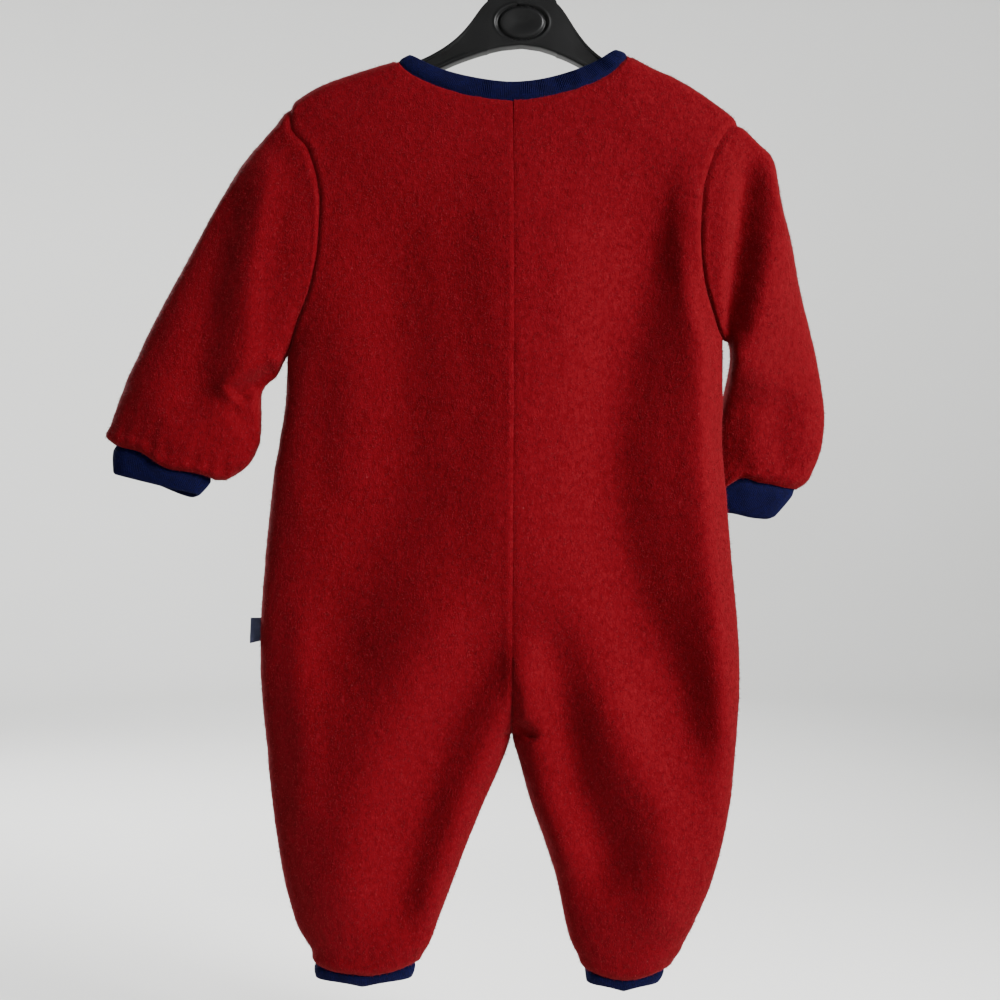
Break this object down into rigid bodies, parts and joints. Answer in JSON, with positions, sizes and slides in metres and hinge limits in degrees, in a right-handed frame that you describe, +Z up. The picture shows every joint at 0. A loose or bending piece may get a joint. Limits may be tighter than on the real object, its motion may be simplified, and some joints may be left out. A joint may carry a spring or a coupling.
{
  "type": "onesie pajama on a child's hanger",
  "caption": "Child's red fleece one-piece with navy rib neck band and cuffs, hung on a black plastic child's hanger.",
  "frame": {"origin": "top of the inside of the hanger's hook, where it rests on a rail", "axes": "+Z up; the garment's front faces -Y and its back +Y; +X is the wearer's left"},
  "size_m": [0.5, 0.0735, 0.7422],
  "materials": {
    "fleece": "napped polyester fleece, matt",
    "rib": "rib knit, matt",
    "tape": "woven tape",
    "zip_teeth": "moulded teeth",
    "zip_metal": "plated",
    "hanger_plastic": "moulded, semi-gloss black",
    "hook_steel": "plated wire"
  },
  "bodies": {
    "garment": {"back_left": "fleece", "back_right": "fleece", "front_left": "fleece", "front_right": "fleece", "sleeve_left": "fleece", "sleeve_right": "fleece", "neck_binding": "rib", "wrist_cuff_left": "rib", "wrist_cuff_right": "rib", "ankle_cuff_left": "rib", "ankle_cuff_right": "rib", "side_label": "tape", "zip_tape_left": "tape", "zip_tape_right": "tape", "zip_chain": "zip_teeth", "zip_slider": "zip_metal", "zip_stop": "zip_metal", "hanger_body": "hanger_plastic", "hook": "hook_steel"},
    "pull": {"zip_pull": "zip_metal"}
  },
  "joints": [
    {"name": "zip_pull_hinge", "type": "hinge", "parent": "garment", "child": "pull", "pos_m": [0.0056, -0.02393, -0.16611], "axis": [-1, 0, 0], "range_deg": [0, 160]}
  ]
}
